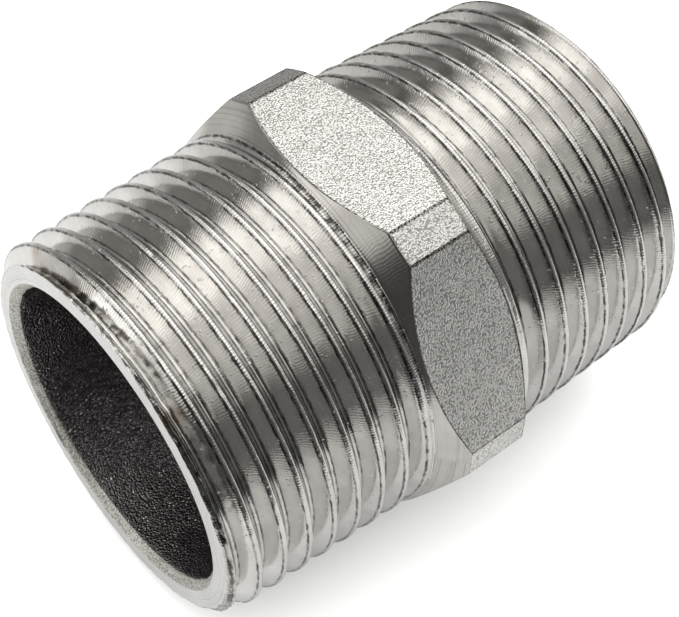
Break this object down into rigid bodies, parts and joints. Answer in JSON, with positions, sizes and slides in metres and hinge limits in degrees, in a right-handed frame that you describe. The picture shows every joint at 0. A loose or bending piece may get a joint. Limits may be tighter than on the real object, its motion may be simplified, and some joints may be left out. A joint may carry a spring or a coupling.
{
  "type": "hex nipple",
  "caption": "Cast hexagon pipe nipple with a male taper thread on each side of a wrench hexagon and a straight bore through it.",
  "frame": {"origin": "middle of the bore's axis, halfway between the two end faces and in the middle of the hexagon", "axes": "+X along the bore towards the right threaded end, +Z square to a wrench flat"},
  "size_m": [0.037, 0.0304, 0.0274],
  "materials": {
    "turned_steel": "turned stainless steel with fine tool marks",
    "cast_steel": "grit-blasted cast stainless steel with a fine grain"
  },
  "bodies": {
    "root": {"left_threaded_end": "turned_steel", "hex_collar": "cast_steel", "right_threaded_end": "turned_steel"}
  },
  "joints": []
}
